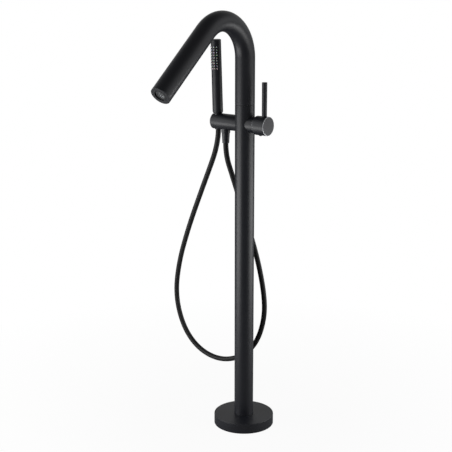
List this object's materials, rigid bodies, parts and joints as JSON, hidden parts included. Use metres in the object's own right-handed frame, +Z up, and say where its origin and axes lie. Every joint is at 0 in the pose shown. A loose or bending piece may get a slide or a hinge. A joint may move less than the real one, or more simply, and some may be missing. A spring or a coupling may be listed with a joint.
{
  "type": "floor standing bath filler",
  "caption": "Freestanding bath filler: round column on a floor disc, bent swivel spout, side lever mixer, and a pencil handset on a hose in the opposite end of the cross bar.",
  "frame": {"origin": "centre of the floor plate's underside, on the finished floor under the column's axis", "axes": "+Z up the column; the cross bar lies along X with the lever at +X and the handset at -X; the spout points to -Y, the side of the bath"},
  "size_m": [0.3496, 0.411, 1.0904],
  "materials": {
    "matte_black": "matte black powder coat, faintly bluish",
    "steel": "stainless steel, turned",
    "brass": "machined brass",
    "rubber": "soft black rubber",
    "hose_black": "smooth matte black hose",
    "supply_hose": "flexible supply hose",
    "white_plastic": "white acetal",
    "grey_plastic": "grey engineering plastic",
    "silicone": "pale soft silicone, satin",
    "ceramic": "lapped ceramic, smooth",
    "black_plastic": "matte black plastic"
  },
  "bodies": {
    "stand": {"floor_plate": "steel", "collar_screw_1": "steel", "collar_screw_2": "steel", "collar_screw_3": "steel", "column_spigot": "brass", "spigot_screw_left": "steel", "spigot_screw_right": "steel", "base_cover": "matte_black", "cover_ring": "rubber", "column": "matte_black", "hot_supply_hose": "supply_hose", "cold_supply_hose": "supply_hose", "valve_body": "brass", "cartridge_housing": "matte_black", "cartridge_body": "grey_plastic", "cartridge_nut": "brass", "ceramic_disc_fixed": "ceramic", "holder_bar": "matte_black", "transfer_tube": "brass", "outlet_nipple": "brass", "outlet_check_valve": "white_plastic", "outlet_hose_washer": "rubber", "hose_nut_outlet": "matte_black", "hose": "hose_black", "swivel_post": "brass", "swivel_seal_low": "rubber", "swivel_seal_high": "rubber", "glide_ring": "white_plastic", "diverter_bush": "matte_black"},
    "spout": {"spout": "matte_black", "spout_bush": "brass", "spout_set_screw": "steel", "spout_water_hose": "supply_hose", "spout_mouth": "matte_black", "aerator_housing": "black_plastic", "aerator_grid": "grey_plastic"},
    "mixer": {"ceramic_disc_moving": "ceramic", "cartridge_rotor": "white_plastic", "tilt_pin": "steel"},
    "handle": {"cartridge_spindle": "brass", "handle_cap": "matte_black", "lever_pin": "matte_black", "handle_grub_screw": "steel", "screw_plug": "black_plastic"},
    "diverter": {"diverter_stem": "brass", "diverter_knob": "matte_black"},
    "hose_end": {"hose_nut_handset": "matte_black", "handset_hose_washer": "rubber"},
    "handset": {"handset_stud": "brass", "handset_foot_ring": "matte_black", "handset_shell": "matte_black", "nozzle_mat": "silicone", "handset_water_way": "white_plastic"}
  },
  "joints": [
    {"name": "spout_swivel", "type": "hinge", "parent": "stand", "child": "spout", "pos_m": [0, 0, 0.8566], "axis": [0, 0, 1], "range_deg": [-50, 50]},
    {"name": "handle_temperature", "type": "hinge", "parent": "stand", "child": "mixer", "pos_m": [0, 0, 0.808], "axis": [1, 0, 0], "range_deg": [-45, 45]},
    {"name": "handle_flow", "type": "hinge", "parent": "mixer", "child": "handle", "pos_m": [0.03, 0, 0.808], "axis": [0, 1, 0], "range_deg": [0, 20]},
    {"name": "diverter_pull", "type": "slide", "parent": "stand", "child": "diverter", "axis": [0, 1, 0], "range_m": [0, 0.008], "stiffness_N_per_m": 600, "springref_m": -0.006},
    {"name": "handset_lift", "type": "slide", "parent": "stand", "child": "hose_end", "axis": [0, -0.0419, 0.9991], "range_m": [0, 0.12]},
    {"name": "handset_turn", "type": "hinge", "parent": "hose_end", "child": "handset", "pos_m": [-0.086, 0, 0.808], "axis": [0, -0.0419, 0.9991], "range_deg": [-90, 90]}
  ]
}
